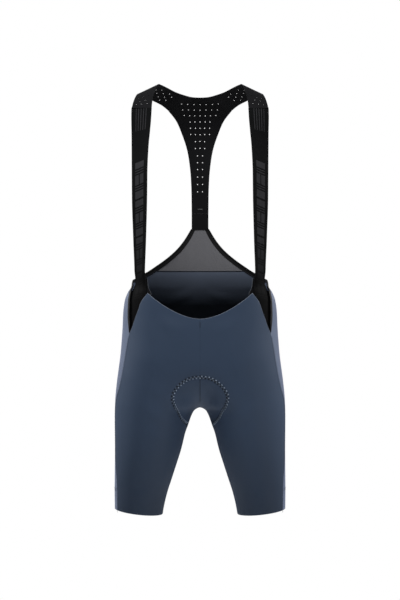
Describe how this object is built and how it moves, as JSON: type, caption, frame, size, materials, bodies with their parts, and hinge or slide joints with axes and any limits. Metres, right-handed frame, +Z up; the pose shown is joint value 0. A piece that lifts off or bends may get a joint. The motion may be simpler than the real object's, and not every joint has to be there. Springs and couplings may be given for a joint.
{
  "type": "cycling bib shorts",
  "caption": "Stretch knit cycling bib shorts with a racer back, elastic shoulder straps and a seat pad, filled out as worn.",
  "frame": {"origin": "midway between the tops of the two shoulder straps, where the wearer's shoulders carry the garment", "axes": "+X towards the wearer's left, -Y towards the wearer's front, +Z up along the body"},
  "size_m": [0.3594, 0.2445, 0.9029],
  "materials": {
    "body_knit": "smooth matt stretch warp knit with a faint sheen",
    "side_knit": "smooth stretch warp knit with more sheen",
    "black_knit": "plain stretch knit",
    "perforated_knit": "plain stretch knit with small punched holes",
    "mesh_knit": "fine open mesh knit",
    "strap_elastic": "woven elastic webbing with a raised pattern",
    "binding_elastic": "folded elastic binding",
    "pad_fabric": "brushed microfibre over foam"
  },
  "bodies": {
    "root": {"front_left": "body_knit", "front_right": "body_knit", "back": "body_knit", "side_left": "side_knit", "side_right": "side_knit", "leg_band_left": "side_knit", "leg_band_right": "side_knit", "gore_left": "black_knit", "gore_right": "black_knit", "yoke": "perforated_knit", "back_tab": "perforated_knit", "back_mesh": "mesh_knit", "strap_left": "strap_elastic", "strap_right": "strap_elastic", "binding_left": "binding_elastic", "binding_right": "binding_elastic", "pad": "pad_fabric"}
  },
  "joints": []
}
